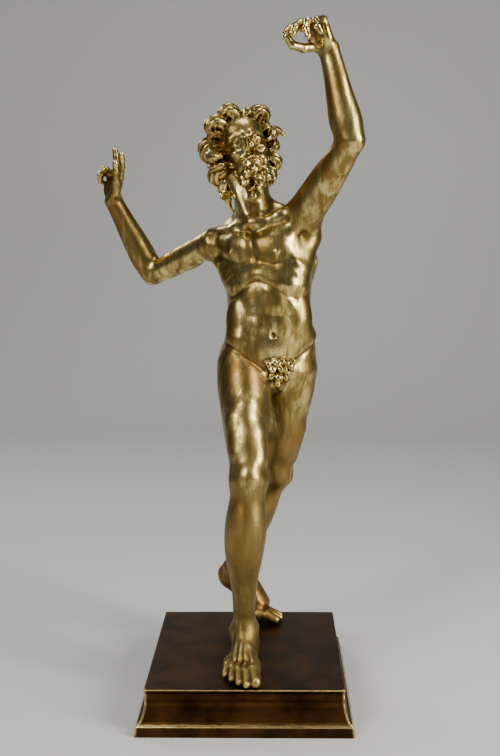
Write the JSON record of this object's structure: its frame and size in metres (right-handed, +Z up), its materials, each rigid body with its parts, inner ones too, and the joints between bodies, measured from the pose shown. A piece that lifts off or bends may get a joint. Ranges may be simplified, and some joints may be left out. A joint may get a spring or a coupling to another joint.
{
  "type": "faun statue",
  "caption": "Cast bronze statuette of a bearded faun dancing with both arms raised, standing on a low moulded rectangular bronze plinth.",
  "frame": {"origin": "centre of the plinth's underside, on the surface that the statue stands on", "axes": "+Z up the figure, -Y the way that the figure and the plinth's front face, +X the figure's own left"},
  "size_m": [0.3064, 0.2548, 0.7526],
  "materials": {
    "polished_bronze": "polished golden bronze with brown patina in the recesses",
    "brown_bronze": "brown patinated bronze, rubbed golden along its edges"
  },
  "bodies": {
    "root": {"faun_figure": "polished_bronze", "plinth": "brown_bronze"}
  },
  "joints": []
}
